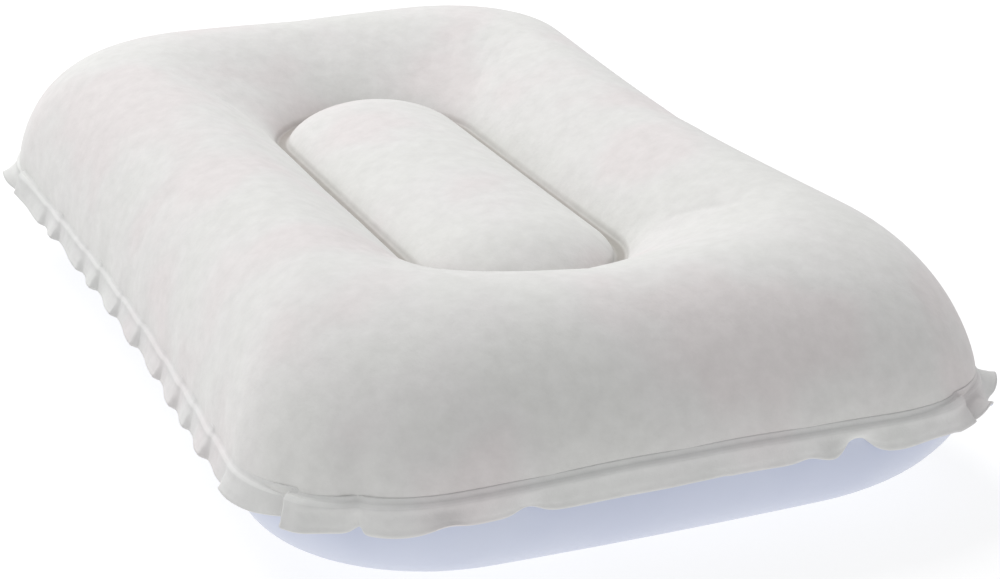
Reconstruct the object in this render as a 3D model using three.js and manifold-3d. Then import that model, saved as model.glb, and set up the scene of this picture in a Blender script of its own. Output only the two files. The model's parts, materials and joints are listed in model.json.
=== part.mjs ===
// Inflatable camp pillow: two welded vinyl sheets, two inner webs and a push-in inflation valve.
// Millimetres, +Z up. The origin is on the floor under the middle of the pillow; +X runs along it.

import * as THREE from 'three';
import { mergeVertices } from 'three/addons/utils/BufferGeometryUtils.js';
import Module from 'manifold-3d';

// ---- Driving dimensions ----

// The weld all round, as the air holds it: a rounded rectangle with its sides drawn in.
const SEAM_LENGTH = 430;
const SEAM_WIDTH = 258;
const CORNER_RADIUS = 63;
const LONG_SIDE_PULL = 0.062; // share of the half width that the middle of a long side is drawn in
const END_PULL = 0.006; // the same for the two ends
const SEAM_HEIGHT = 37.5; // mean height of the weld over the floor
const END_LIFT = 7.7; // the weld runs higher at the ends
const SIDE_DROP = 3.1; // and lower along the sides

// The oval dish inside the ring, and the two straight weld lines along its sides.
const DISH_LENGTH = 218;
const DISH_WIDTH = 76;
const WELD_BAND = 4.4; // width of the flat welded strip between ring and tube
const WELD_OFFSET = 21.5; // height of the top weld over the seam's mean, and depth of the bottom one

// The ring and the middle tube.
const RING_TOP = 47.5; // crest over the seam's mean
const RING_CORNER_RISE = 4; // extra height of the crest towards the corners
const RING_BOTTOM = 39; // free depth of the ring; the floor presses it flat
const TUBE_TOP = 40;
const TUBE_BOTTOM = 40.5; // free depth of the tube; the floor presses it flat too
const TOP_ARCH = { peak: 0.485, inner: [1.35, 1.55], outer: [1.9, 1.7] };
const BOTTOM_ARCH = { peak: 0.485, inner: [2, 2], outer: [2, 2] };

// Sheets, margin and webs.
const TOP_SHEET = 0.6; // vinyl and the flock on it
const BOTTOM_SHEET = 0.5;
const SHEET_GAP = 0.2; // each sheet stops this far short of the seam plane
const RIM_WIDTH = 9.5;
const RIM_THICKNESS = 0.9;
const RIM_LEAN = 10; // degrees that the drooping margin stands off the vertical
const WEB_THICKNESS = 0.5;
const WEB_GAP = 0.35;

// Valve, from its axis outwards and from the seat plane of its disc upwards.
const VALVE_STATION = 0.93; // place along the end wall: 0 at the dish, 1 at the seam
const DISC_RADIUS = 16;
const WELL_RADIUS = 12;
const STEM_RADIUS = 6;
const STEM_BORE = 3.8;
const STEM_TOP = 4;
const STEM_BOTTOM = -12;
const RIM_BEAD_RADIUS = 6.6;
const CUP_BOTTOM = -4.2;
const PLUG_RADIUS = 5.5;
const PLUG_SHANK = 5.5;
const HINGE_OFFSET = 8.5; // strap hinge, out from the valve's axis
const HINGE_DROP = 2.2; // and below the stem's mouth
const STRAP_WIDTH = 4;
const FLAP_RADIUS = 4.6;
const PART_GAP = 0.3; // free space between touching pieces

// Mesh resolution.
const CAP_STEPS = 20;
const SIDE_STEPS = 8;
const RING_STEPS = 9;
const TUBE_STEPS = 4;
const ROUND_STEPS = 32;

// ---- Colours ----

const FLOCK = new THREE.MeshStandardMaterial({ color: 0xe4e2df, roughness: 0.95, metalness: 0 });
const VINYL = new THREE.MeshStandardMaterial({ color: 0xbcc3d6, roughness: 0.4, metalness: 0 });
const WEB = new THREE.MeshStandardMaterial({ color: 0xc6cbd8, roughness: 0.45, metalness: 0 });
const MARGIN = new THREE.MeshStandardMaterial({ color: 0xdcdcd8, roughness: 0.9, metalness: 0 });
const VALVE = new THREE.MeshStandardMaterial({ color: 0xc9cfdc, roughness: 0.35, metalness: 0 });

// ---- Mesh helpers ----

const wasm = await Module();
wasm.setup();

// Closed body through a list of rings of points. The first and last ring fold onto a line, or
// with closed set they join each other.
function loft(rings, closed = false) {
  const count = rings[0].length;
  const position = rings.flat().flatMap((point) => [point.x, point.y, point.z]);
  const index = [];
  const bands = closed ? rings.length : rings.length - 1;
  for (let band = 0; band < bands; band += 1) {
    const next = (band + 1) % rings.length;
    for (let j = 0; j < count; j += 1) {
      const k = (j + 1) % count;
      const a = band * count + j;
      const b = band * count + k;
      const c = next * count + k;
      const d = next * count + j;
      index.push(a, b, c, a, c, d);
    }
  }
  const geometry = new THREE.BufferGeometry();
  geometry.setAttribute('position', new THREE.Float32BufferAttribute(position, 3));
  geometry.setIndex(index);
  return outward(dropSlivers(mergeVertices(geometry, 1e-3)));
}

// Triangles that folding a ring onto a line has emptied.
function dropSlivers(geometry) {
  const index = geometry.getIndex().array;
  const kept = [];
  for (let i = 0; i < index.length; i += 3) {
    const [a, b, c] = [index[i], index[i + 1], index[i + 2]];
    if (a !== b && b !== c && c !== a) kept.push(a, b, c);
  }
  geometry.setIndex(kept);
  return geometry;
}

// Turns every face round if the body's signed volume is negative.
function outward(geometry) {
  const position = geometry.getAttribute('position');
  const index = Array.from(geometry.getIndex().array);
  const [a, b, c] = [new THREE.Vector3(), new THREE.Vector3(), new THREE.Vector3()];
  let volume = 0;
  for (let i = 0; i < index.length; i += 3) {
    a.fromBufferAttribute(position, index[i]);
    b.fromBufferAttribute(position, index[i + 1]);
    c.fromBufferAttribute(position, index[i + 2]);
    volume += a.dot(b.cross(c));
  }
  if (volume < 0) index.reverse();
  geometry.setIndex(index);
  geometry.computeVertexNormals();
  return geometry;
}

function toSolid(geometry) {
  const bare = geometry.clone();
  bare.deleteAttribute('normal');
  if (bare.hasAttribute('uv')) bare.deleteAttribute('uv');
  const merged = dropSlivers(mergeVertices(bare, 1e-4));
  const vertProperties = new Float32Array(merged.getAttribute('position').array);
  const triVerts = new Uint32Array(merged.getIndex().array);
  return new wasm.Manifold(new wasm.Mesh({ numProp: 3, vertProperties, triVerts }));
}

function fromSolid(solid) {
  const mesh = solid.getMesh();
  const geometry = new THREE.BufferGeometry();
  geometry.setAttribute('position', new THREE.Float32BufferAttribute(mesh.vertProperties, 3));
  geometry.setIndex(Array.from(mesh.triVerts));
  geometry.computeVertexNormals();
  return geometry;
}

// Round piece about local Z from [radius, height] points.
function turned(profile) {
  const points = profile.map(([radius, height]) => new THREE.Vector2(radius, height));
  return new THREE.LatheGeometry(points, ROUND_STEPS).rotateX(Math.PI / 2);
}

function named(name, geometry, material) {
  const mesh = new THREE.Mesh(geometry, material);
  mesh.name = name;
  return mesh;
}

// ---- The pillow's plan curves ----

// Station on the +X cap of a rounded rectangle: a corner, the end and the other corner, by the
// share of the way along them.
function capStation(halfLength, halfWidth, radius, share) {
  const arc = (Math.PI / 2) * radius;
  const end = 2 * (halfWidth - radius);
  const way = share * (2 * arc + end);
  if (radius === 0) return [halfLength, 0];
  const corner = halfLength - radius;
  if (way < arc) {
    const angle = way / radius - Math.PI / 2;
    return [corner + radius * Math.cos(angle), radius * Math.sin(angle) + radius - halfWidth];
  }
  if (way < arc + end) return [halfLength, way - arc + radius - halfWidth];
  const angle = (way - arc - end) / radius;
  return [corner + radius * Math.cos(angle), radius * Math.sin(angle) + halfWidth - radius];
}

// Rounded rectangle as [x, y] stations: the same count on every cap and side, so that any two
// of these curves pair up station by station.
function roundedRectangle(halfLength, halfWidth, radius) {
  const half = [];
  for (let i = 0; i <= CAP_STEPS; i += 1) {
    half.push(capStation(halfLength, halfWidth, radius, i / CAP_STEPS));
  }
  for (let i = 1; i < SIDE_STEPS; i += 1) {
    half.push([(1 - (2 * i) / SIDE_STEPS) * (halfLength - radius), halfWidth]);
  }
  return [...half, ...half.map(([x, y]) => [-x, -y])];
}

// The weld line in space.
function seamPoint(x, y) {
  const shareX = x / (SEAM_LENGTH / 2);
  const shareY = y / (SEAM_WIDTH / 2);
  const drawnX = x * (1 - END_PULL * (1 - shareY ** 2) ** 2);
  const drawnY = y * (1 - LONG_SIDE_PULL * (1 - shareX ** 2) ** 2);
  const lift = END_LIFT * (shareX ** 2 - 0.5) - SIDE_DROP * (shareY ** 2 - 0.5);
  return new THREE.Vector3(drawnX, drawnY, SEAM_HEIGHT + lift);
}

function seamCurve() {
  const plan = roundedRectangle(SEAM_LENGTH / 2, SEAM_WIDTH / 2, CORNER_RADIUS);
  return plan.map(([x, y]) => seamPoint(x, y));
}

// Outline of the dish, grown by a margin, at a given height.
function dishCurve(grow, height) {
  const halfWidth = DISH_WIDTH / 2 + grow;
  const plan = roundedRectangle(DISH_LENGTH / 2 + grow, halfWidth, halfWidth);
  return plan.map(([x, y]) => new THREE.Vector3(x, y, height));
}

// Ring of the tube: share 0 is the line along its middle, share 1 its foot at the weld band.
function tubeCurve(share, height) {
  const foot = DISH_WIDTH / 2 - WELD_BAND / 2;
  const straight = DISH_LENGTH / 2 - DISH_WIDTH / 2;
  const plan = roundedRectangle(straight + foot * share, foot * share, foot * share);
  return plan.map(([x, y]) => new THREE.Vector3(x, y, height));
}

// Height share of a cross-section, 0 at both feet and 1 at its peak.
function archShare(u, arch) {
  const inside = u < arch.peak;
  const away = inside ? (arch.peak - u) / arch.peak : (u - arch.peak) / (1 - arch.peak);
  const [power, root] = inside ? arch.inner : arch.outer;
  return Math.max(0, 1 - away ** power) ** (1 / root);
}

// A point of the ring's skin, from the dish's edge at u = 0 to the seam at u = 1.
function ringPoint(u, dish, seam, crest, arch) {
  const point = dish.clone().lerp(seam, u);
  point.z += (crest - point.z) * archShare(u, arch);
  return point;
}

// ---- The two sheets ----

// Stations that crowd towards both ends of 0..1, where a skin curves most.
function crowded(steps) {
  const values = [];
  for (let i = 0; i <= steps; i += 1) values.push(0.5 - 0.5 * Math.cos((Math.PI * i) / steps));
  return values;
}

// Height of the ring's crest on the way to a point of the seam.
function crestHeight(seamStation, crest, cornerRise) {
  const shareX = seamStation.x / (SEAM_LENGTH / 2);
  const shareY = seamStation.y / (SEAM_WIDTH / 2);
  return crest + cornerRise * Math.abs(shareX * shareY);
}

// Outer skin from the tube's middle line out to the seam. up is 1 for the top sheet, -1 below.
function skinRings(up, tubeCrest, ringCrest, cornerRise, arch) {
  const weldHeight = SEAM_HEIGHT + up * WELD_OFFSET;
  const rings = [];
  for (let i = 0; i < TUBE_STEPS; i += 1) {
    const share = Math.sin((Math.PI / 2) * (i / TUBE_STEPS));
    const height = weldHeight + (tubeCrest - weldHeight) * Math.sqrt(1 - share ** 2);
    rings.push(tubeCurve(share, height));
  }
  rings.push(tubeCurve(1, weldHeight));
  const dish = dishCurve(WELD_BAND / 2, weldHeight);
  const seam = seamCurve();
  for (const u of crowded(RING_STEPS)) {
    rings.push(dish.map((point, j) => {
      const crest = crestHeight(seam[j], ringCrest, cornerRise);
      return ringPoint(u, point, seam[j], crest, arch);
    }));
  }
  for (const point of rings[rings.length - 1]) point.z += up * SHEET_GAP;
  return rings;
}

// Unit normals of a skin, pointing up or down as told.
function skinNormals(rings, up) {
  const count = rings[0].length;
  return rings.map((ring, k) => ring.map((point, j) => {
    if (k === 0) return new THREE.Vector3(0, 0, up);
    const around = ring[(j + 1) % count].clone().sub(ring[(j + count - 1) % count]);
    const outer = rings[Math.min(k + 1, rings.length - 1)][j];
    const along = outer.clone().sub(rings[k - 1][j]);
    const normal = along.cross(around).normalize();
    if (k === rings.length - 1) normal.setZ(0).normalize();
    return normal.multiplyScalar(up);
  }));
}

// Sheet of a given thickness under its outer skin.
function sheetRings(outer, up, thickness) {
  const normals = skinNormals(outer, up);
  const inner = outer.map((ring, k) => ring.map(
    (point, j) => point.clone().addScaledVector(normals[k][j], -thickness),
  ));
  return [outer, inner];
}

function topPanel() {
  const tubeCrest = SEAM_HEIGHT + TUBE_TOP;
  const ringCrest = SEAM_HEIGHT + RING_TOP;
  const outer = skinRings(1, tubeCrest, ringCrest, RING_CORNER_RISE, TOP_ARCH);
  const [skin, lining] = sheetRings(outer, 1, TOP_SHEET);
  return loft([...skin, ...lining.reverse()]);
}

// ---- Where the valve sits ----

// Seat on the -X end wall: local X is the hinge side, local Y runs up the wall, local Z points out.
function valveSeat() {
  const dish = new THREE.Vector3(-DISH_LENGTH / 2 - WELD_BAND / 2, 0, SEAM_HEIGHT - WELD_OFFSET);
  const seam = seamPoint(-SEAM_LENGTH / 2, 0);
  const crest = SEAM_HEIGHT - RING_BOTTOM;
  const step = 0.01;
  const centre = ringPoint(VALVE_STATION, dish, seam, crest, BOTTOM_ARCH);
  const above = ringPoint(VALVE_STATION + step, dish, seam, crest, BOTTOM_ARCH);
  const below = ringPoint(VALVE_STATION - step, dish, seam, crest, BOTTOM_ARCH);
  const upWall = above.sub(below).normalize();
  const side = new THREE.Vector3(0, -1, 0);
  const out = side.clone().cross(upWall);
  return new THREE.Matrix4().makeBasis(side, upWall, out).setPosition(centre);
}

// Presses a skin flat round the valve, at a given level of the valve's axis, and keeps it over
// the floor.
function flattenAtValve(rings, seat, level, floor) {
  const inverse = seat.clone().invert();
  const flat = DISC_RADIUS + 2;
  const free = DISC_RADIUS + 8;
  for (const point of rings.flat()) {
    const local = point.clone().applyMatrix4(inverse);
    const away = Math.hypot(local.x, local.y);
    const weight = 1 - THREE.MathUtils.smoothstep(away, flat, free);
    if (weight > 0 && Math.abs(local.z) < DISC_RADIUS) {
      local.z += (level - local.z) * weight;
      point.copy(local.applyMatrix4(seat));
    }
    point.z = Math.max(point.z, floor);
  }
}

function bottomPanel(seat) {
  const tubeCrest = SEAM_HEIGHT - TUBE_BOTTOM;
  const ringCrest = SEAM_HEIGHT - RING_BOTTOM;
  const outer = skinRings(-1, tubeCrest, ringCrest, 0, BOTTOM_ARCH);
  for (const point of outer.flat()) point.z = Math.max(point.z, 0);
  const [skin, lining] = sheetRings(outer, -1, BOTTOM_SHEET);
  flattenAtValve(skin, seat, -PART_GAP, 0);
  flattenAtValve(lining, seat, -PART_GAP - BOTTOM_SHEET, BOTTOM_SHEET);
  const sheet = toSolid(loft([...skin, ...lining.reverse()]));
  const hole = new THREE.CylinderGeometry(WELL_RADIUS, WELL_RADIUS, DISC_RADIUS, ROUND_STEPS);
  hole.rotateX(Math.PI / 2).applyMatrix4(seat);
  return fromSolid(sheet.subtract(toSolid(hole)));
}

// ---- Margin and webs ----

// The fused margin droops from the seam as a plain band.
function weldedRim() {
  const seam = seamCurve();
  const count = seam.length;
  const lean = THREE.MathUtils.degToRad(RIM_LEAN);
  const foot = RIM_WIDTH * Math.sin(lean);
  const drop = RIM_WIDTH * Math.cos(lean);
  const near = PART_GAP + 0.2;
  const far = near + RIM_THICKNESS;
  const profile = [[near, SHEET_GAP * 4], [far, SHEET_GAP * 4], [far + foot, -drop], [near + foot, -drop]];
  const rings = profile.map(([out, rise]) => seam.map((point, j) => {
    const around = seam[(j + 1) % count].clone().sub(seam[(j + count - 1) % count]);
    const away = new THREE.Vector3(around.y, -around.x, 0).normalize();
    return point.clone().addScaledVector(away, out).add(new THREE.Vector3(0, 0, rise));
  }));
  return loft(rings, true);
}

// Upright web with a welded foot along its top and bottom edges.
function rib(y) {
  const top = SEAM_HEIGHT + WELD_OFFSET - TOP_SHEET - WEB_GAP;
  const bottom = SEAM_HEIGHT - WELD_OFFSET + BOTTOM_SHEET + WEB_GAP;
  const foot = WELD_BAND / 2;
  const half = WEB_THICKNESS / 2;
  const outline = new THREE.Shape();
  outline.moveTo(-foot, bottom);
  outline.lineTo(foot, bottom);
  outline.lineTo(foot, bottom + WEB_THICKNESS);
  outline.lineTo(half, bottom + WEB_THICKNESS);
  outline.lineTo(half, top - WEB_THICKNESS);
  outline.lineTo(foot, top - WEB_THICKNESS);
  outline.lineTo(foot, top);
  outline.lineTo(-foot, top);
  outline.lineTo(-foot, top - WEB_THICKNESS);
  outline.lineTo(-half, top - WEB_THICKNESS);
  outline.lineTo(-half, bottom + WEB_THICKNESS);
  outline.lineTo(-foot, bottom + WEB_THICKNESS);
  outline.closePath();
  const length = DISH_LENGTH - DISH_WIDTH;
  const web = new THREE.ExtrudeGeometry(outline, { depth: length, bevelEnabled: false });
  web.rotateX(Math.PI / 2).rotateZ(Math.PI / 2);
  return web.translate(-length / 2, y, 0);
}

// ---- Valve pieces, each about the valve's own axis ----

function valveFlange() {
  return turned([
    [WELL_RADIUS, 0], [DISC_RADIUS, 0], [DISC_RADIUS, 0.6], [DISC_RADIUS - 0.6, 1],
    [WELL_RADIUS + 0.9, 1], [WELL_RADIUS + 0.6, 1.5], [WELL_RADIUS, 1.5], [WELL_RADIUS, 0],
  ]);
}

// Thin cup between the disc and the stem.
function valveDiaphragm() {
  const wall = 0.6;
  const outer = WELL_RADIUS - PART_GAP;
  const inner = STEM_RADIUS + PART_GAP;
  return turned([
    [inner, CUP_BOTTOM], [outer - 2, CUP_BOTTOM + 0.4], [outer - 0.4, CUP_BOTTOM + 2], [outer, 0.8],
    [outer - wall, 0.8], [outer - wall - 0.4, CUP_BOTTOM + 2.3], [outer - 2.3, CUP_BOTTOM + 1],
    [inner, CUP_BOTTOM + wall], [inner, CUP_BOTTOM],
  ]);
}

function valveStem() {
  const bead = STEM_TOP - 1.4;
  return turned([
    [STEM_BORE, STEM_BOTTOM], [STEM_RADIUS, STEM_BOTTOM], [STEM_RADIUS, bead],
    [RIM_BEAD_RADIUS, bead + 0.3], [RIM_BEAD_RADIUS, STEM_TOP - 0.4], [RIM_BEAD_RADIUS - 0.4, STEM_TOP],
    [STEM_BORE, STEM_TOP], [STEM_BORE, STEM_BOTTOM],
  ]);
}

// Thin collar under the stem's bead, with the tab that the strap hinges on.
function strapRing() {
  const radius = STEM_RADIUS + 1.15;
  const half = STRAP_WIDTH / 2;
  const tabEnd = HINGE_OFFSET - 0.8;
  const angle = Math.asin(half / radius);
  const outline = new THREE.Shape();
  outline.absarc(0, 0, radius, angle, 2 * Math.PI - angle, false);
  outline.lineTo(tabEnd, -half);
  outline.lineTo(tabEnd, half);
  outline.closePath();
  const hole = new THREE.Path();
  hole.absarc(0, 0, STEM_RADIUS + PART_GAP, 0, 2 * Math.PI, true);
  outline.holes.push(hole);
  const ring = new THREE.ExtrudeGeometry(outline, { depth: 0.6, bevelEnabled: false, curveSegments: 14 });
  return ring.translate(0, 0, STEM_TOP - HINGE_DROP - 0.8);
}

// Tether from the living hinge up to the side of the plug's head.
function plugStrap() {
  const hinge = STEM_TOP - HINGE_DROP;
  const headSide = PLUG_RADIUS + 0.35;
  const outline = new THREE.Shape();
  outline.moveTo(headSide, hinge + 2.8);
  outline.lineTo(headSide + 1.15, hinge + 2.4);
  outline.lineTo(HINGE_OFFSET - 0.45, hinge - 0.2);
  outline.lineTo(HINGE_OFFSET + 0.1, hinge - 0.5);
  outline.lineTo(HINGE_OFFSET + 0.55, hinge + 0.1);
  outline.lineTo(headSide + 1.75, hinge + 3.2);
  outline.lineTo(headSide, hinge + 3.8);
  outline.closePath();
  const strap = new THREE.ExtrudeGeometry(outline, { depth: STRAP_WIDTH, bevelEnabled: false });
  return strap.rotateX(Math.PI / 2).translate(0, STRAP_WIDTH / 2, 0);
}

function valvePlug() {
  const seat = STEM_TOP + PART_GAP;
  const top = seat + 2.2;
  return turned([
    [0, seat - PLUG_SHANK], [3, seat - PLUG_SHANK], [3.4, seat], [PLUG_RADIUS, seat],
    [PLUG_RADIUS, top - 0.6], [PLUG_RADIUS - 0.6, top], [0, top],
  ]);
}

// Disc with a hinge tab, closing the stem's inner end.
function checkFlap() {
  const half = 1.5;
  const angle = Math.asin(half / FLAP_RADIUS);
  const start = Math.PI / 2 + angle;
  const outline = new THREE.Shape();
  outline.absarc(0, 0, FLAP_RADIUS, start, start + 2 * (Math.PI - angle), false);
  outline.lineTo(half, STEM_RADIUS - 0.3);
  outline.lineTo(-half, STEM_RADIUS - 0.3);
  outline.closePath();
  const flap = new THREE.ExtrudeGeometry(outline, { depth: 0.6, bevelEnabled: false, curveSegments: 12 });
  return flap.translate(0, 0, STEM_BOTTOM - PART_GAP - 0.6);
}

function valve(seat) {
  const group = new THREE.Group();
  group.add(
    named('valve_flange', valveFlange(), VALVE),
    named('valve_diaphragm', valveDiaphragm(), VALVE),
    named('valve_stem', valveStem(), VALVE),
    named('strap_ring', strapRing(), VALVE),
    named('plug_strap', plugStrap(), VALVE),
    named('valve_plug', valvePlug(), VALVE),
    named('check_flap', checkFlap(), VALVE),
  );
  group.applyMatrix4(seat);
  return group;
}

// ---- Assembly ----

const seat = valveSeat();
const pillow = new THREE.Group();
pillow.add(
  named('top_panel', topPanel(), FLOCK),
  named('bottom_panel', bottomPanel(seat), VINYL),
  named('welded_rim', weldedRim(), MARGIN),
  named('front_rib', rib(-DISH_WIDTH / 2), WEB),
  named('back_rib', rib(DISH_WIDTH / 2), WEB),
  valve(seat),
);

export default pillow;
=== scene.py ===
"""Inflatable camp pillow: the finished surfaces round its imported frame. Metres, +Z up."""

import json
import math
import random

import bmesh
import bpy
import numpy as np
from mathutils import Matrix, Vector


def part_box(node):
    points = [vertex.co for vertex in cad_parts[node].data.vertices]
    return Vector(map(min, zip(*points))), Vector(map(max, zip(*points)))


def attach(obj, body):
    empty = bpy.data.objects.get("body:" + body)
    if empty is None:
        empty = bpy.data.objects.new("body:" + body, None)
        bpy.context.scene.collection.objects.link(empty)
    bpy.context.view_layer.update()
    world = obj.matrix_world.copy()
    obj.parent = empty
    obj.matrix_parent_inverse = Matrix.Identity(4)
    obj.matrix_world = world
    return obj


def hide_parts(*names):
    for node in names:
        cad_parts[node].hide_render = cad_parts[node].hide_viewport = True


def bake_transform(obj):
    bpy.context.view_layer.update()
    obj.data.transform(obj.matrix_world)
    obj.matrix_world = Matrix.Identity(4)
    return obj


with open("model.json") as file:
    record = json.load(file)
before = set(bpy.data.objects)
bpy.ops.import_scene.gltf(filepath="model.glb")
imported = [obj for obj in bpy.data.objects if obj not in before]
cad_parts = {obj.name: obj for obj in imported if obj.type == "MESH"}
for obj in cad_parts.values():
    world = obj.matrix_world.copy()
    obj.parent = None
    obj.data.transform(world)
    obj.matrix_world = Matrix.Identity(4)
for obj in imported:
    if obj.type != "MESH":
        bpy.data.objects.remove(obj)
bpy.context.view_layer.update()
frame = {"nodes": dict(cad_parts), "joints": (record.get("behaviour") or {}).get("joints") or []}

# ---- Sizes: the frame's boxes, and the driving dimensions that it was drawn from ----

MM = 0.001
_, TOP_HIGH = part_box("top_panel")
RIB_LOW, RIB_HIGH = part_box("back_rib")
JOINTS = {joint["name"]: joint for joint in frame["joints"]}

# The weld all round.
CORNER_RADIUS = 63 * MM
LONG_SIDE_PULL = 0.062
END_PULL = 0.006
HALF_LENGTH = TOP_HIGH.x
CORNER_START = 1 - CORNER_RADIUS / HALF_LENGTH
HALF_WIDTH = TOP_HIGH.y / (1 - LONG_SIDE_PULL * (1 - CORNER_START**2) ** 2)
SEAM_HEIGHT = 37.5 * MM
END_LIFT = 7.7 * MM
SIDE_DROP = 3.1 * MM

# The dish, the straight welds along it and the tube between them.
STRAIGHT = RIB_HIGH.x
WELD_LINE = (RIB_LOW.y + RIB_HIGH.y) / 2
WELD_BAND = 4.4 * MM
WELD_OFFSET = 21.5 * MM
TUBE_FOOT = WELD_LINE - WELD_BAND / 2
TUBE_ROUND = 0.62  # over 0.5 the tube's sides meet the welds less steeply than an ellipse's
TUBE_CAP_SPREAD = 0.55  # how far the tube's middle line runs on into its round ends
BAND_SUPPORTS = (0.12, 0.88)  # extra rows that keep the welded band's edges crisp

# Crests of the ring and the tube over and under the seam's mean, and the ring's cross-section:
# the peak's place between dish and seam, and the powers of the inner and the outer side.
# The finished top tube is 3.5 mm lower than the frame's.
TOP = {"up": 1, "ring": 47.5 * MM, "corner_rise": 4 * MM, "tube": 36.5 * MM,
       "peak": 0.485, "inner": (1.35, 1.55), "outer": (1.9, 1.7)}
BASE = {"up": -1, "ring": 39 * MM, "corner_rise": 0.0, "tube": 40.5 * MM,
        "peak": 0.485, "inner": (2, 2), "outer": (2, 2)}

# Mesh steps.
END_STEPS = 88
SIDE_STEPS = 48
TUBE_ROWS = 9
RING_ROWS = 30

# Sheets.
TOP_SHEET = 0.6 * MM
BASE_SHEET = 0.5 * MM
REST_BAND = 0.3 * MM  # the base is held still where it comes this close to the ground

# Inflation.
PRESSURE = 4.0
SIM_FRAMES = 20
SWELL_CAP = 1.0 * MM

# The valve's seat, from its joints: out along the valve's axis, side towards the strap's hinge.
HINGE_OFFSET = 8.5 * MM
HINGE_LEVEL = 1.8 * MM
VALVE_OUT = Vector(JOINTS["stem_push"]["axis"]).normalized()
VALVE_SIDE = Vector((0, -1, 0))
VALVE_UP = VALVE_OUT.cross(VALVE_SIDE)
VALVE_SEAT = Vector(JOINTS["plug_flip"]["pos_m"]) - VALVE_SIDE * HINGE_OFFSET - VALVE_OUT * HINGE_LEVEL
SEAT_LEVEL = -0.3 * MM
DISC_RADIUS = 16 * MM
WELL_RADIUS = 12 * MM
HOLE_RADIUS = WELL_RADIUS + 0.6 * MM
VALVE_FLAT = DISC_RADIUS + 2 * MM  # the skin lies flat this far from the valve's axis,
VALVE_HELD = DISC_RADIUS + 5 * MM  # stays where it is under pressure up to here,
VALVE_FREE = DISC_RADIUS + 8 * MM  # and takes its own shape again from here
HOLE_SEARCH = DISC_RADIUS + 6 * MM  # the hole's own edge lies inside this radius
HOLE_DEPTH = 3 * MM  # and this close to the seat's level


# ---- Camera, light and floor ----

# The camera turns about the weld's middle: angles in degrees, distances in metres, lens in millimetres.
CAMERA = {"azimuth": 69.17, "elevation": 20.26, "roll": -0.658, "distance": 0.9167, "lens": 86.67}
AIM_RIGHT = 22.5 * MM  # it looks past the middle by so much
AIM_DOWN = 15.8 * MM


def make_camera():
    azimuth, elevation, roll = (math.radians(CAMERA[angle]) for angle in ("azimuth", "elevation", "roll"))
    back = Vector((math.sin(azimuth) * math.cos(elevation),
                   -math.cos(azimuth) * math.cos(elevation), math.sin(elevation)))
    level = Vector((math.cos(azimuth), math.sin(azimuth), 0))
    right = level * math.cos(roll) + back.cross(level) * math.sin(roll)
    up = back.cross(right)
    middle = Vector((0, 0, SEAM_HEIGHT))
    place = middle + back * CAMERA["distance"]
    aim = middle + right * AIM_RIGHT - up * AIM_DOWN
    back = (place - aim).normalized()
    right = up.cross(back).normalized()
    up = back.cross(right)
    data = bpy.data.cameras.new("camera")
    data.lens = CAMERA["lens"]
    data.sensor_width = 36
    data.sensor_fit = "HORIZONTAL"
    camera = bpy.data.objects.new("camera", data)
    bpy.context.scene.collection.objects.link(camera)
    camera.matrix_world = Matrix((right, up, back)).transposed().to_4x4()
    camera.location = place
    bpy.context.scene.camera = camera


def make_light(name, place, size, watts):
    data = bpy.data.lights.new(name, "AREA")
    data.shape = "DISK"
    data.size = size
    data.energy = watts
    light = bpy.data.objects.new(name, data)
    light.location = place
    light.rotation_mode = "QUATERNION"
    light.rotation_quaternion = Vector(place).to_track_quat("Z", "Y")
    bpy.context.scene.collection.objects.link(light)


def make_studio():
    world = bpy.data.worlds.new("studio")
    world.use_nodes = True
    background = world.node_tree.nodes["Background"]
    background.inputs["Color"].default_value = (0.98, 0.99, 1.0, 1)
    background.inputs["Strength"].default_value = 0.43
    bpy.context.scene.world = world
    bpy.context.scene.view_settings.view_transform = "Standard"
    make_light("window", place=(-1.55, -0.35, 2.1), size=2.4, watts=59)

    floor_size = 8.0
    corners = [(-1, -1), (1, -1), (1, 1), (-1, 1)]
    points = [(x * floor_size / 2, y * floor_size / 2, -0.1 * MM) for x, y in corners]
    floor = mesh_object("floor", points, [(0, 1, 2, 3)])
    floor.data.materials.append(floor_material())


# ---- Materials ----

def shader_material(name, **sockets):
    """A Principled material with the given values set on the shader's own sockets."""
    material = bpy.data.materials.new(name)
    material.use_nodes = True
    shader = material.node_tree.nodes["Principled BSDF"]
    for socket, value in sockets.items():
        shader.inputs[socket.replace("_", " ")].default_value = value
    return material, material.node_tree, shader


def add_node(tree, kind, settings=None, **inputs):
    node = tree.nodes.new(kind)
    for key, value in (settings or {}).items():
        setattr(node, key, value)
    for key, value in inputs.items():
        node.inputs[key.replace("_", " ")].default_value = value
    return node


def noise(tree, size, detail, roughness):
    """Noise whose features are about size metres across, in the piece's own space."""
    place = add_node(tree, "ShaderNodeTexCoord")
    texture = add_node(tree, "ShaderNodeTexNoise", Scale=1 / size, Detail=detail, Roughness=roughness)
    tree.links.new(place.outputs["Object"], texture.inputs["Vector"])
    return texture.outputs["Fac"]


def ramp(tree, factor, stops):
    node = tree.nodes.new("ShaderNodeValToRGB")
    elements = node.color_ramp.elements
    while len(elements) < len(stops):
        elements.new(0.5)
    for element, (place, colour) in zip(elements, stops):
        element.position = place
        element.color = (*colour, 1)
    tree.links.new(factor, node.inputs["Fac"])
    return node.outputs["Color"]


def multiply(tree, first, second):
    node = add_node(tree, "ShaderNodeMix", {"data_type": "RGBA", "blend_type": "MULTIPLY"})
    node.inputs["Factor"].default_value = 1
    tree.links.new(first, node.inputs["A"])
    tree.links.new(second, node.inputs["B"])
    return node.outputs["Result"]


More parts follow.
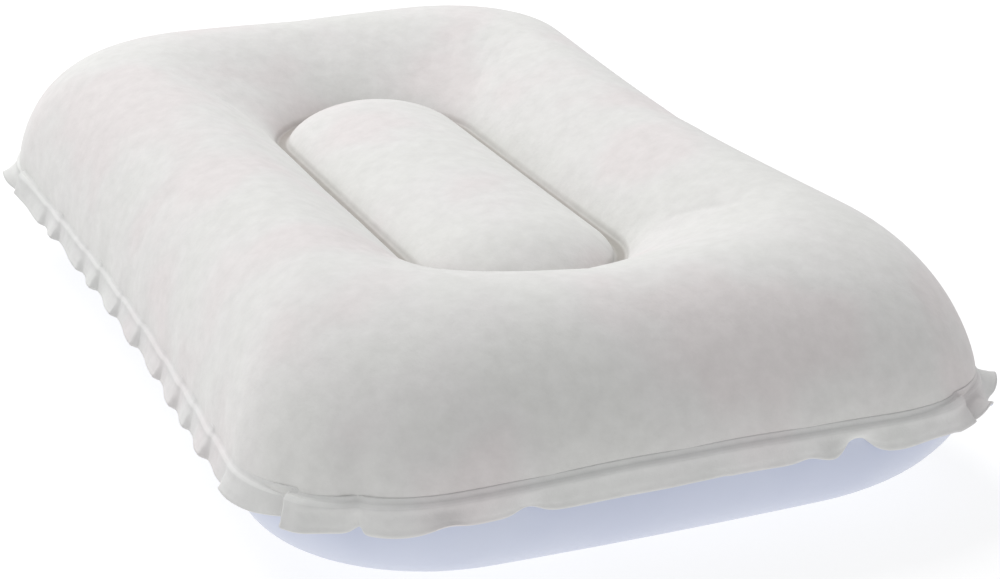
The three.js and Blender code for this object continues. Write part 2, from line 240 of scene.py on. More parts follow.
def bump(tree, shader, layers):
    """Stacked bumps from (height, distance, strength), the last one nearest the shader."""
    previous = None
    for height, distance, strength in layers:
        node = add_node(tree, "ShaderNodeBump", Distance=distance, Strength=strength)
        tree.links.new(height, node.inputs["Height"])
        if previous:
            tree.links.new(previous, node.inputs["Normal"])
        previous = node.outputs["Normal"]
    tree.links.new(previous, shader.inputs["Normal"])


def flock_material(name, shade, pile, crumple):
    """Short off-white flock: cloudy where the pile leans, with faint warm and cool patches, and with
    painted shade that darkens the weld band round the tube, where the groove lies in shade.
    pile is how deep the cloudiness and the fine bumps are, and crumple the depth of the creases."""
    material, tree, shader = shader_material(
        name, Roughness=0.95, Specular_IOR_Level=0.15, Sheen_Weight=0.2 * pile, Sheen_Roughness=0.5)
    clouds = ramp(tree, noise(tree, 6 * MM, 4, 0.65), [
        (0.3, (shade - 0.035 * pile, shade - 0.048 * pile, shade - 0.062 * pile)),
        (0.7, (shade + 0.03 * pile, shade + 0.017 * pile, shade + 0.004 * pile))])
    tint = ramp(tree, noise(tree, 55 * MM, 2, 0.5),
                [(0.38, (0.99, 1.0, 0.99)), (0.5, (1, 1, 1)), (0.62, (1.0, 0.965, 0.972))])
    # Painted shade: the weld band round the tube is coloured darker, standing in for the shade in the
    # groove between the tube and the ring.
    groove_shade_colour = (0.5, 0.48, 0.455)
    painted_groove_shade = ramp(tree, weld_distance(tree),
                   [(0.0, (1, 1, 1)), (0.35, groove_shade_colour), (0.65, groove_shade_colour), (1.0, (1, 1, 1))])
    coloured = multiply(tree, multiply(tree, clouds, tint), painted_groove_shade)
    tree.links.new(coloured, shader.inputs["Base Color"])
    bump(tree, shader, [
        (noise(tree, 9 * MM, 2, 0.5), crumple, 0.6),
        (noise(tree, 5 * MM, 3, 0.6), 0.5 * MM, 0.35 * pile),
        (noise(tree, 0.9 * MM, 2, 0.6), 0.12 * MM, 0.4),
    ])
    return material


def weld_distance(tree):
    """0..1 across the welded band that runs round the tube, 0.5 on its middle line: the mask of the painted
    groove shade.
    """
    place = add_node(tree, "ShaderNodeTexCoord")
    split = tree.nodes.new("ShaderNodeSeparateXYZ")
    tree.links.new(place.outputs["Object"], split.inputs["Vector"])
    length = add_node(tree, "ShaderNodeMath", {"operation": "ABSOLUTE"})
    tree.links.new(split.outputs["X"], length.inputs[0])
    past = add_node(tree, "ShaderNodeMath", {"operation": "SUBTRACT"})
    tree.links.new(length.outputs[0], past.inputs[0])
    past.inputs[1].default_value = STRAIGHT
    positive = add_node(tree, "ShaderNodeMath", {"operation": "MAXIMUM"})
    tree.links.new(past.outputs[0], positive.inputs[0])
    positive.inputs[1].default_value = 0
    across = tree.nodes.new("ShaderNodeCombineXYZ")
    tree.links.new(positive.outputs[0], across.inputs["X"])
    tree.links.new(split.outputs["Y"], across.inputs["Y"])
    away = add_node(tree, "ShaderNodeVectorMath", {"operation": "LENGTH"})
    tree.links.new(across.outputs[0], away.inputs[0])
    band = add_node(tree, "ShaderNodeMapRange")
    band.inputs["From Min"].default_value = TUBE_FOOT - WELD_BAND / 4
    band.inputs["From Max"].default_value = TUBE_FOOT + 1.25 * WELD_BAND
    tree.links.new(away.outputs["Value"], band.inputs["Value"])
    return band.outputs["Result"]


def vinyl_material(name, dark, light, roughness):
    """Smooth soft vinyl with a faint skin texture."""
    material, tree, shader = shader_material(
        name, Coat_Weight=0.15, Coat_Roughness=0.25, Specular_IOR_Level=0.45)
    colour = ramp(tree, noise(tree, 40 * MM, 2, 0.5), [(0.35, dark), (0.65, light)])
    tree.links.new(colour, shader.inputs["Base Color"])
    patches = add_node(tree, "ShaderNodeMapRange")
    patches.inputs["To Min"].default_value = roughness - 0.05
    patches.inputs["To Max"].default_value = roughness + 0.07
    tree.links.new(noise(tree, 15 * MM, 3, 0.6), patches.inputs["Value"])
    tree.links.new(patches.outputs["Result"], shader.inputs["Roughness"])
    bump(tree, shader, [
        (noise(tree, 18 * MM, 2, 0.5), 0.8 * MM, 0.25),
        (noise(tree, 0.8 * MM, 2, 0.5), 0.04 * MM, 0.35),
    ])
    return material


def floor_material():
    material, tree, shader = shader_material(
        "floor", Roughness=0.9, Specular_IOR_Level=0.1, Emission_Color=(1, 1, 1, 1), Emission_Strength=0.8)
    colour = ramp(tree, noise(tree, 0.3, 2, 0.5), [(0.3, (0.29, 0.29, 0.29)), (0.7, (0.31, 0.31, 0.31))])
    tree.links.new(colour, shader.inputs["Base Color"])
    return material


# ---- Mesh helpers ----

def mesh_object(name, points, faces):
    mesh = bpy.data.meshes.new(name)
    mesh.from_pydata([tuple(map(float, p)) for p in points], [], [tuple(map(int, f)) for f in faces])
    mesh.validate()
    mesh.shade_smooth()
    obj = bpy.data.objects.new(name, mesh)
    bpy.context.scene.collection.objects.link(obj)
    return obj


def coordinates(mesh):
    flat = np.zeros(len(mesh.vertices) * 3)
    mesh.vertices.foreach_get("co", flat)
    return flat.reshape(-1, 3)


def apply_modifiers(obj):
    """Replaces an object's mesh by what its modifiers make of it."""
    graph = bpy.context.evaluated_depsgraph_get()
    finished = bpy.data.meshes.new_from_object(obj.evaluated_get(graph))
    obj.modifiers.clear()
    obj.data = finished


def grid_faces(rows, columns, closed_rows=False):
    """Quads of a grid of rows that each run round in a ring."""
    faces = []
    for i in range(rows if closed_rows else rows - 1):
        for j in range(columns):
            k = (j + 1) % columns
            n = (i + 1) % rows
            faces.append((i * columns + j, i * columns + k, n * columns + k, n * columns + j))
    return faces


def smoothstep(value, low, high):
    share = np.clip((value - low) / (high - low), 0, 1)
    return share * share * (3 - 2 * share)


# ---- The pillow's plan ----

def outline(turn, half_length, half_width, radius):
    """Plan points of a rounded rectangle: turn 0..1 is the +X end, 1..2 the +Y side, and so on."""
    turn = np.asarray(turn, float) % 4
    sign = np.where(turn >= 2, -1.0, 1.0)
    turn = np.where(turn >= 2, turn - 2, turn)
    arc = math.pi / 2 * radius
    end = 2 * (half_width - radius)
    way = np.minimum(turn, 1) * (2 * arc + end)
    before = np.minimum(way - arc, 0)
    after = np.maximum(way - arc - end, 0)
    angle = (before + after) / radius
    x = half_length - radius + radius * np.cos(angle)
    y = radius * np.sin(angle) + np.clip(way - arc - end / 2, -end / 2, end / 2)
    on_side = turn > 1
    x = np.where(on_side, (half_length - radius) * (3 - 2 * turn), x)
    y = np.where(on_side, half_width, y)
    return x * sign, y * sign


END_RUN = math.pi * CORNER_RADIUS + 2 * (HALF_WIDTH - CORNER_RADIUS)
SIDE_RUN = 2 * (HALF_LENGTH - CORNER_RADIUS)
SEAM_RUN = 2 * (END_RUN + SIDE_RUN)


def turn_at(way):
    """Turn for a way along the weld, 0 in the middle of the +X end and growing towards +Y."""
    way = (np.asarray(way, float) + END_RUN / 2) % SEAM_RUN
    marks = np.cumsum([0, END_RUN, SIDE_RUN, END_RUN, SIDE_RUN])
    return np.interp(way, marks, [0, 1, 2, 3, 4])


def way_at(turn):
    marks = np.cumsum([0, END_RUN, SIDE_RUN, END_RUN, SIDE_RUN]) - END_RUN / 2
    return np.interp(np.asarray(turn, float) % 4, [0, 1, 2, 3, 4], marks)


def seam_points(turn):
    """The weld line in space, its ends lifted and its long sides drawn in."""
    x, y = outline(turn, HALF_LENGTH, HALF_WIDTH, CORNER_RADIUS)
    share_x = x / HALF_LENGTH
    share_y = y / HALF_WIDTH
    drawn_x = x * (1 - END_PULL * (1 - share_y**2) ** 2)
    drawn_y = y * (1 - LONG_SIDE_PULL * (1 - share_x**2) ** 2)
    z = SEAM_HEIGHT + END_LIFT * (share_x**2 - 0.5) - SIDE_DROP * (share_y**2 - 0.5)
    return np.stack([drawn_x, drawn_y, z], axis=-1), np.abs(share_x * share_y)


# ---- Ripples that the gathered weld throws ----

KNOTS_SLOW = (15, 34)  # millimetres between knots, from and to
KNOTS_SHARP = (2.5, 5)
KNOTS_AT_END = (15, 27)


def ripple_knots():
    """Places along the weld where it swings out and in by turns: on the long sides it swings out
    slowly and drops back in sharply, which leaves flat facets with a step between them."""
    draw = random.Random(41)
    knots = [(-SEAM_RUN / 2, 0.0)]
    sign = 1
    while True:
        turn = float(turn_at(knots[-1][0]))
        on_side = int(turn) % 2 == 1
        if on_side:
            step = draw.uniform(*KNOTS_SLOW) if sign > 0 else draw.uniform(*KNOTS_SHARP)
        else:
            step = draw.uniform(*KNOTS_AT_END)
        way = knots[-1][0] + step * MM
        if way > SEAM_RUN / 2 - 10 * MM:
            break
        knots.append((way, sign * draw.uniform(0.3, 1.0)))
        sign = -sign
    return [*knots, (SEAM_RUN / 2, 0.0)]


KNOTS = np.array(ripple_knots())


def ripple(way):
    """From -1, swung in, to 1, swung out."""
    way = (np.asarray(way, float) + SEAM_RUN / 2) % SEAM_RUN - SEAM_RUN / 2
    index = np.clip(np.searchsorted(KNOTS[:, 0], way) - 1, 0, len(KNOTS) - 2)
    start, end = KNOTS[index], KNOTS[index + 1]
    share = (way - start[..., 0]) / (end[..., 0] - start[..., 0])
    return start[..., 1] + (end[..., 1] - start[..., 1]) * smoothstep(share, 0.1, 0.9)


def hump(way, centre, half_width):
    """1 at the centre, falling smoothly to nothing."""
    apart = (np.asarray(way, float) - centre + SEAM_RUN / 2) % SEAM_RUN - SEAM_RUN / 2
    return np.exp(-((apart / half_width) ** 2))


# Where the margin folds over itself: place along the weld, which side lies in front (1 the one
# ahead, -1 the one behind), and how much lower than the back side the front one hangs.
PLEATS = [
    {"way": -467 * MM, "front": 1, "drop": 1.5 * MM},
    {"way": -129 * MM, "front": 1, "drop": 4.0 * MM},
    {"way": 101 * MM, "front": -1, "drop": 1.2 * MM},
    {"way": 452 * MM, "front": -1, "drop": 1.5 * MM},
    {"way": 548 * MM, "front": 1, "drop": 2.0 * MM},
]
LIP_DROP_SHARE = 0.25  # the lip takes only this share of a pleat's drop
PLEAT_OVERLAP = 2.4 * MM
PLEAT_GAP = 1.3 * MM  # between the fold's layers
PLEAT_REACH = 11 * MM  # how far along the weld a fold still pushes the margin out or in

# Lobes that stand out at the corners: place, half width, and the angle that they swing out.
LOBES = [
    (-483 * MM, 9 * MM, 62), (110 * MM, 8.5 * MM, 86), (138 * MM, 8 * MM, 84),
    (470 * MM, 8 * MM, 50), (532 * MM, 8 * MM, 45),
]

# Waves along the ends: place, half width, swing out in degrees and rise of the lower edge.
# The last one is where the margin rides over the valve's disc.
WAVES = [
    (-107 * MM, 1.8 * MM, -26, 0.4 * MM), (-96 * MM, 8 * MM, 3, -0.6 * MM),
    (-80 * MM, 6 * MM, 20, 2.0 * MM), (-55 * MM, 5 * MM, -12, 2.2 * MM),
    (40 * MM, 5 * MM, -8, 1.0 * MM), (47 * MM, 5 * MM, 14, -0.6 * MM), (57 * MM, 6 * MM, -26, 4.4 * MM),
    (72 * MM, 8 * MM, 8, -0.4 * MM), (SEAM_RUN / 2, 13 * MM, 17, 0.0),
]

# Puckers and pinches fade out over the skin, and reach their full depth a little way from the
# weld: at the weld itself the skin, and the margin with it, takes only a share of them.
PUCKER_REACH = 16 * MM
WELD_REACH = 2 * MM
WELD_SHARE = 0.65

# Pinches that draw the skin in at the weld: place, half width and depth.
PINCHES = [
    (-130 * MM, 4.5 * MM, 1.4 * MM), (-107 * MM, 3.2 * MM, 2.6 * MM), (101 * MM, 4.5 * MM, 1.0 * MM),
]


def side_share(way):
    """1 along the long sides and 0 at the ends, changing over at the corners."""
    turn = turn_at(way) % 2
    return smoothstep(turn, 0.8, 1.05) * (1 - smoothstep(turn, 1.95, 2)) + (1 - smoothstep(turn, 0, 0.2))


# ---- The two sheets ----

def arch_share(u, section):
    """Height of the ring's arch over the line from the dish (u 0) to the weld (u 1), as a share."""
    peak = section["peak"]
    if u < peak:
        away = (peak - u) / peak
        power, root = section["inner"]
    else:
        away = (u - peak) / (1 - peak)
        power, root = section["outer"]
    return max(0.0, 1 - away**power) ** (1 / root)


def skin_rows(section, turn):
    """Rows of a sheet's outer skin, from the tube's middle line out to the weld."""
    up = section["up"]
    weld_z = SEAM_HEIGHT + up * WELD_OFFSET
    rows = []
    foot_x, foot_y = outline(turn, STRAIGHT + TUBE_FOOT, TUBE_FOOT, TUBE_FOOT)
    past = np.maximum(np.abs(foot_x) - STRAIGHT, 0)
    crest = SEAM_HEIGHT + up * section["tube"]
    for i in range(TUBE_ROWS + 1):
        share = math.sin(math.pi / 2 * i / TUBE_ROWS)
        spread = math.hypot(TUBE_CAP_SPREAD, math.sqrt(1 - TUBE_CAP_SPREAD**2) * share)
        x = np.sign(foot_x) * (np.minimum(np.abs(foot_x), STRAIGHT) + past * spread)
        y = foot_y * share
        off_line = np.hypot(past * spread, y) / TUBE_FOOT
        z = weld_z + (crest - weld_z) * np.maximum(0, 1 - off_line**2) ** TUBE_ROUND
        rows.append(np.stack([x, y, z], axis=-1))
    for share in (*BAND_SUPPORTS, 1):
        half_width = TUBE_FOOT + WELD_BAND * share
        x, y = outline(turn, STRAIGHT + half_width, half_width, half_width)
        rows.append(np.stack([x, y, np.full_like(x, weld_z)], axis=-1))
    dish = rows[-1]
    seam, corner = seam_points(turn)
    ring_crest = SEAM_HEIGHT + up * (section["ring"] + section["corner_rise"] * corner)
    for i in range(1, RING_ROWS + 1):
        u = 0.5 - 0.5 * math.cos(math.pi * i / RING_ROWS)
        row = dish + (seam - dish) * u
        row[:, 2] += (ring_crest - row[:, 2]) * arch_share(u, section)
        rows.append(row)
    return np.array(rows)


BAND_ROWS = range(TUBE_ROWS, TUBE_ROWS + len(BAND_SUPPORTS) + 2)


def gather_depth(way):
    """Depth of the puckers, twice as deep along the long sides as at the ends."""
    return (0.3 + 0.3 * side_share(way)) * MM * ripple(way)


def gather(rows, turn, up):
    """Puckers that run from the weld into the sheet, in step with the margin's ripples."""
    way = way_at(turn)
    lengths = np.linalg.norm(np.diff(rows, axis=0), axis=2)
    from_seam = np.concatenate([np.cumsum(lengths[::-1], axis=0)[::-1], np.zeros((1, len(turn)))])
    fade = np.exp(-((from_seam / PUCKER_REACH) ** 2))
    fade *= 1 - (1 - WELD_SHARE) * np.exp(-((from_seam / WELD_REACH) ** 2))
    depth = gather_depth(way)
    for place, half_width, pinch in PINCHES:
        depth = depth - pinch * hump(way, place, half_width)
    around = np.roll(rows, -1, axis=1) - np.roll(rows, 1, axis=1)
    along = np.gradient(rows, axis=0)
    normal = up * np.cross(along, around)
    normal /= np.maximum(np.linalg.norm(normal, axis=2, keepdims=True), 1e-12)
    rows += normal * (fade * depth)[..., None]
    return rows


def to_valve(points):
    basis = np.array([VALVE_SIDE, VALVE_UP, VALVE_OUT])
    return (points - np.array(VALVE_SEAT)) @ basis.T


def from_valve(local):
    basis = np.array([VALVE_SIDE, VALVE_UP, VALVE_OUT])
    return local @ basis + np.array(VALVE_SEAT)


def flatten_at_valve(points):
    """Presses a skin flat round the valve, where its disc is welded on."""
    local = to_valve(points)
    away = np.hypot(local[..., 0], local[..., 1])
    weight = 1 - smoothstep(away, VALVE_FLAT, VALVE_FREE)
    weight = np.where(np.abs(local[..., 2]) < DISC_RADIUS, weight, 0)
    local[..., 2] += (SEAT_LEVEL - local[..., 2]) * weight
    return from_valve(local)


def join_points(points, faces):
    """Joins points that lie together: the new points, the new faces and where each old point went."""
    keys = np.round(points / (0.01 * MM)).astype(int)
    _, first, place = np.unique(keys, axis=0, return_index=True, return_inverse=True)
    return points[first], place.reshape(-1)[np.array(faces)], place.reshape(-1)


def inflate(points, faces, pinned):
    """Lets air pressure settle the closed skin, with its welds held still."""
    skin = mesh_object("skin", points, faces)
    group = skin.vertex_groups.new(name="held")
    group.add([int(i) for i in np.flatnonzero(pinned)], 1.0, "REPLACE")
    cloth = skin.modifiers.new("cloth", "CLOTH")
    settings = cloth.settings
    settings.quality = 5
    settings.mass = 0.1
    settings.tension_stiffness = settings.compression_stiffness = 40
    settings.shear_stiffness = 10
    settings.bending_stiffness = 1.0
    settings.air_damping = 3
    settings.use_pressure = True
    settings.uniform_pressure_force = PRESSURE
    settings.vertex_group_mass = "held"
    settings.effector_weights.gravity = 0
    cloth.collision_settings.use_collision = False
    cloth.point_cache.frame_start = 1
    cloth.point_cache.frame_end = SIM_FRAMES
    scene = bpy.context.scene
    for step in range(1, SIM_FRAMES + 1):
        scene.frame_set(step)
    graph = bpy.context.evaluated_depsgraph_get()
    settled = coordinates(skin.evaluated_get(graph).data)
    scene.frame_set(1)
    bpy.data.objects.remove(skin)
    moved = settled - points
    size = np.linalg.norm(moved, axis=1, keepdims=True)
    capped = moved * SWELL_CAP * np.tanh(size / SWELL_CAP) / np.maximum(size, 1e-9)
    return points + capped


def body_skins():
    """The top and the bottom sheet's outer skins as one closed body, settled under pressure."""
    turn = np.concatenate([np.linspace(0, 1, END_STEPS, endpoint=False),
                           np.linspace(1, 2, SIDE_STEPS, endpoint=False)])
    turn = np.concatenate([turn, turn + 2])
    top = gather(skin_rows(TOP, turn), turn, 1)
    base = gather(skin_rows(BASE, turn), turn, -1)
    base[..., 2] = np.maximum(base[..., 2], 0)
    base[-1] = top[-1]
    base = flatten_at_valve(base)
    base[..., 2] = np.maximum(base[..., 2], 0)
    count = top.shape[0] * top.shape[1]
    faces = grid_faces(top.shape[0], len(turn))
    top_faces = [tuple(reversed(face)) for face in faces]
    base_faces = [tuple(count + i for i in face) for face in faces]
    held = np.zeros(top.shape[:2], bool)
    held[list(BAND_ROWS)] = True
    held[-1] = True
    base_held = held | (base[..., 2] < REST_BAND)
    base_held |= np.linalg.norm(base - np.array(VALVE_SEAT), axis=2) < VALVE_HELD
    every = np.concatenate([top.reshape(-1, 3), base.reshape(-1, 3)])
    points, joined, place = join_points(every, top_faces + base_faces)
    pinned = np.zeros(len(points), bool)
    pinned[place[np.concatenate([held.ravel(), base_held.ravel()])]] = True
    points = inflate(points, joined, pinned)
    points[:, 2] = np.maximum(points[:, 2], 0)
    return points, joined[:len(faces)], joined[len(faces):]


def sheet_piece(name, points, faces, thickness, material, hole=False):
    """One sheet with its thickness inwards of the skin."""
    used = np.unique(faces)
    lookup = np.full(len(points), -1)
    lookup[used] = np.arange(len(used))
    sheet = mesh_object(name, points[used], lookup[faces])
    sheet.modifiers.new("fine", "SUBSURF").levels = 1
    apply_modifiers(sheet)
    if hole:
        open_valve_hole(sheet)
    wall = sheet.modifiers.new("wall", "SOLIDIFY")
    wall.thickness = thickness
    wall.offset = -1
    apply_modifiers(sheet)
    sheet.data.materials.clear()
    sheet.data.materials.append(material)
    sheet.data.shade_smooth()
    sheet.data.set_sharp_from_angle(angle=math.radians(60))
    return sheet


def open_valve_hole(sheet):
    """Takes the sheet away inside the valve's well and rounds the edge that is left."""
    work = bmesh.new()
    work.from_mesh(sheet.data)
    work.verts.ensure_lookup_table()
    local = to_valve(np.array([v.co for v in work.verts]))
    away = np.hypot(local[:, 0], local[:, 1])
    near = np.abs(local[:, 2]) < HOLE_DEPTH
    doomed = [work.verts[int(i)] for i in np.flatnonzero((away < HOLE_RADIUS) & near)]
    bmesh.ops.delete(work, geom=doomed, context="VERTS")
    for vert in work.verts:
        if vert.is_boundary:
            x, y, z = to_valve(np.array(vert.co))
            if math.hypot(x, y) < HOLE_SEARCH and abs(z) < HOLE_DEPTH:
                pull = HOLE_RADIUS / math.hypot(x, y)
                vert.co = Vector(from_valve(np.array([x * pull, y * pull, z])))
    work.to_mesh(sheet.data)
    work.free()


# ---- The welded margin ----

MARGIN_STEP = 1.0 * MM
MARGIN_THICKNESS = 0.9 * MM
ROOT_OUT = -0.8 * MM  # the margin's centre line begins inside the pillow's wall
ROOT_LEVEL = 2.85 * MM  # and so high over the weld
BAND_DROP = 7.2 * MM
BAND_LEAN = 7  # degrees off the vertical at the ends
SIDE_LEAN = 18  # and so much more along the long sides
WAIST = 6  # degrees that the band draws in by, just under the lip
END_SWING = 4  # degrees that the ripples swing the band out and in
SIDE_SWING = 8  # and so much more along the long sides
EDGE_WAVE = 0.5 * MM  # the lower edge's own slow rise and fall
EMBOSS_UP = 1.5 * MM  # the fused line over the lower edge
EMBOSS_DEPTH = 0.14 * MM
EMBOSS_WIDTH = 0.6 * MM
EDGE_ROUND = 0.25 * MM
ROOT_CURVE = (  # from the wall over the lip: step length, and angles off the vertical, in degrees
    (0.5 * MM, (16, 16)), (0.3 * MM, (18, 24, 32, 41, 52)),
    (0.35 * MM, (55, 55)), (0.25 * MM, (45, 32, 19, 6)),
)
BAND_STEPS = 9
ROOT_ROWS = 6  # rows over which a fold's layers part
LIP_HIGHLIGHT_ROWS = (7, 10)  # rows along the lip's crest that take a lighter flock: painted highlight
INNER_FLOCK_ROWS = 14  # the inner face takes the flock's colour from its root to round the lip


def margin_path():
    """The margin's run in plan: way along the weld, layer offset and drop, folding at the pleats."""
    way, offset, drop = [], [], []
    pleats = sorted(PLEATS, key=lambda pleat: pleat["way"])
    turn_steps = np.linspace(-90, 90, 9)[1:-1]
    for i, pleat in enumerate(pleats):
        before = pleats[i - 1]
        start = before["way"] - PLEAT_OVERLAP / 2 - (SEAM_RUN if i == 0 else 0)
        end = pleat["way"] + PLEAT_OVERLAP / 2
        run = np.linspace(start, end, int((end - start) / MARGIN_STEP))
        after_fold = np.exp(-((np.maximum(run - start - PLEAT_OVERLAP, 0) / PLEAT_REACH) ** 2))
        before_fold = np.exp(-((np.maximum(end - PLEAT_OVERLAP - run, 0) / PLEAT_REACH) ** 2))
        way.extend(run)
        offset.extend(PLEAT_GAP * (before["front"] * after_fold - pleat["front"] * before_fold))
        drop.extend(before["front"] * before["drop"] / 2 * after_fold
                    - pleat["front"] * pleat["drop"] / 2 * before_fold)
        fold = [(end + PLEAT_GAP / 2 * math.cos(math.radians(a)),
                 pleat["front"] * PLEAT_GAP / 2 * (math.sin(math.radians(a)) - 1)) for a in turn_steps]
        fold += [(end - PLEAT_OVERLAP * share, 0.0) for share in np.linspace(0, 1, 7)]
        fold += [(end - PLEAT_OVERLAP - PLEAT_GAP / 2 * math.cos(math.radians(a)),
                  pleat["front"] * PLEAT_GAP / 2 * (math.sin(math.radians(a)) + 1)) for a in turn_steps]
        for k, (place, layer) in enumerate(fold):
            way.append(place)
            offset.append(layer)
            drop.append(pleat["front"] * pleat["drop"] * ((k + 1) / (len(fold) + 1) - 0.5))
    return np.array(way), np.array(offset), np.array(drop)


def margin_profile(swing, lift):
    """Centre line of the margin's cross-section, [out, up] from the weld, for each station.
    swing is how far the hanging band turns outwards, and lift how far its lower edge rises."""
    points = [(ROOT_OUT, ROOT_LEVEL)]
    for length, angles in ROOT_CURVE:
        for angle in np.radians(angles):
            x, z = points[-1]
            points.append((x + length * math.sin(angle), z - length * math.cos(angle)))
    fixed = np.array(points)
    out = [np.full_like(swing, x) for x, _ in fixed]
    up = [np.full_like(swing, z) for _, z in fixed]
    length = BAND_DROP / BAND_STEPS
    for k in range(1, BAND_STEPS + 1):
        share = k / BAND_STEPS
        waist = WAIST * math.exp(-((share - 0.15) / 0.12) ** 2)
        angle = np.radians(BAND_LEAN - waist) + swing * min(1.0, 3 * share)
        out.append(out[-1] + length * np.sin(angle))
        up.append(up[-1] - length * np.cos(angle) + lift * (2 * share - 1 / BAND_STEPS) / BAND_STEPS)
    return np.array(out), np.array(up)


def margin_rows():
    """Outer and inner skin of the margin as rings of points round the cross-section."""
    way, offset, drop = margin_path()
    turn = turn_at(way)
    seam, _ = seam_points(turn)
    step = 0.5 * MM
    ahead, _ = seam_points(turn_at(way + step))
    behind, _ = seam_points(turn_at(way - step))
    tangent = ahead - behind
    tangent /= np.linalg.norm(tangent, axis=1, keepdims=True)
    outward = np.cross(tangent, (0, 0, 1.0))
    outward /= np.linalg.norm(outward, axis=1, keepdims=True)

    on_side = side_share(way)
    swing = np.radians(END_SWING + SIDE_SWING * on_side) * ripple(way) + np.radians(SIDE_LEAN) * on_side
    lift = np.zeros_like(way)
    for place, half_width, angle in LOBES:
        weight = hump(way, place, half_width)
        swing = swing * (1 - weight) + math.radians(angle) * weight
    for place, half_width, angle, rise in WAVES:
        weight = hump(way, place, half_width)
        swing = swing + math.radians(angle) * weight
        lift = lift + rise * weight
    lift = lift + EDGE_WAVE * ripple(way * 0.61 + 0.2)
    for place, half_width, pinch in PINCHES:
        seam = seam - outward * (WELD_SHARE * pinch * hump(way, place, half_width))[:, None]
    seam = seam + outward * (WELD_SHARE * gather_depth(way))[:, None]

    path = np.stack([way, offset], axis=1)
    heading = np.gradient(path, axis=0)
    heading /= np.maximum(np.linalg.norm(heading, axis=1, keepdims=True), 1e-9)
    out, up = margin_profile(swing, lift)
    slope = np.stack([np.gradient(out, axis=0), np.gradient(up, axis=0)], axis=-1)
    slope /= np.linalg.norm(slope, axis=-1, keepdims=True)
    vertical = np.array([0, 0, 1.0])
    sides = ([], [])
    rows = len(out)
    from_edge = (rows - 1 - np.arange(rows)) * (BAND_DROP / BAND_STEPS)
    for k in range(rows):
        face = -slope[k, :, 1, None] * outward + slope[k, :, 0, None] * vertical
        sink = drop * (LIP_DROP_SHARE + (1 - LIP_DROP_SHARE) * smoothstep(k / (rows - 1), 0.5, 1))
        layer = offset * smoothstep(k, 0, ROOT_ROWS)
        centre = seam + outward * out[k][:, None] + face * layer[:, None]
        centre = centre + vertical * (up[k] - sink)[:, None]
        away = -heading[:, 1, None] * tangent + heading[:, 0, None] * face
        emboss = math.exp(-((from_edge[k] - EMBOSS_UP) / EMBOSS_WIDTH) ** 2)
        half = MARGIN_THICKNESS / 2 - EMBOSS_DEPTH * emboss
        for side, sign in zip(sides, (1, -1)):
            side.append(centre + sign * away * half)
    tip = []
    for share in (0.25, 0.5, 0.75):
        across = sides[0][-1] * (1 - share) + sides[1][-1] * share
        tip.append(across - vertical * EDGE_ROUND * math.sin(math.pi * share))
    return np.array([*sides[0], *tip, *reversed(sides[1])]), rows


def make_margin(flock, lip_highlight_flock, vinyl):
    rings, outer_rows = margin_rows()
    count = rings.shape[1]
    faces = [tuple(reversed(face)) for face in grid_faces(len(rings), count, closed_rows=True)]
    margin = mesh_object("fused_margin", rings.reshape(-1, 3), faces)
    margin.data.materials.append(flock)
    margin.data.materials.append(vinyl)
    margin.data.materials.append(lip_highlight_flock)
    place = np.arange(len(rings))
    inner = (place > outer_rows + 1) & (place < len(rings) - INNER_FLOCK_ROWS)
    # Painted highlight: the rows along the lip's crest take the lighter lip flock.
    lip = (place >= LIP_HIGHLIGHT_ROWS[0]) & (place <= LIP_HIGHLIGHT_ROWS[1])
    material_index = np.repeat(inner + 2 * lip, count).astype(np.int32)
    margin.data.polygons.foreach_set("material_index", material_index)
    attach(margin, "pillow")
    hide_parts("welded_rim")


# ---- The valve, each piece about the valve's own axis, level 0 on the disc's underside ----

STEM_RADIUS = 6 * MM
STEM_BORE = 3.8 * MM
STEM_TOP = 4 * MM
STEM_BOTTOM = -12 * MM
STEM_BEAD = 6.6 * MM
CUP_BOTTOM = -4.2 * MM
PLUG_RADIUS = 5.5 * MM
PLUG_SHANK = 5.5 * MM
HINGE_DROP = 2.2 * MM
STRAP_WIDTH = 4 * MM
FLAP_RADIUS = 4.6 * MM
PART_GAP = 0.3 * MM
EDGE = 0.14 * MM  # rounding of the moulded edges


def soften(obj, width=EDGE):
    """Rounds the crisp edges of a moulded piece."""
    edge = obj.modifiers.new("edge", "BEVEL")
    edge.width = width
    edge.segments = 2
    edge.limit_method = "ANGLE"
    edge.angle_limit = math.radians(28)
    apply_modifiers(obj)
    obj.data.shade_smooth()
    return obj


def turned(name, profile, steps=80):
    """Piece turned about the valve's axis from a closed list of [radius, level] points."""
    angles = np.linspace(0, 2 * math.pi, steps, endpoint=False)
    rings = []
    for radius, level in profile:
        local = np.stack([radius * np.cos(angles), radius * np.sin(angles), np.full(steps, level)], axis=-1)
        rings.append(from_valve(local))
    faces = grid_faces(len(rings), steps, closed_rows=True)
    return mesh_object(name, np.array(rings).reshape(-1, 3), faces)


def slab(name, outline_points, low, high, hole=None):
    """Flat piece with a plan in the valve's side and up directions, between two levels.
    With a hole, its plan must have as many points as the outline."""
    rings = [(outline_points, low), (outline_points, high)]
    if hole is not None:
        rings += [(hole, high), (hole, low)]
    count = len(outline_points)
    points = [from_valve(np.array([x, y, level])) for plan, level in rings for x, y in plan]
    faces = grid_faces(len(rings), count, closed_rows=hole is not None)
    if hole is None:
        faces += [tuple(reversed(range(count))), tuple(range(count, 2 * count))]
    return mesh_object(name, points, faces)


def tabbed_disc(radius, tab_end, half, direction, steps=56):
    """Plan of a disc with a straight tab that points along the side (0) or the up (90) direction."""
    start = math.asin(half / radius)
    angles = np.linspace(start, 2 * math.pi - start, steps)
    plan = [(radius * math.cos(a), radius * math.sin(a)) for a in angles]
    plan += [(tab_end, -half), (tab_end, 0.0), (tab_end, half)]
    cosine = math.cos(math.radians(direction))
    sine = math.sin(math.radians(direction))
    return [(x * cosine - y * sine, x * sine + y * cosine) for x, y in plan]


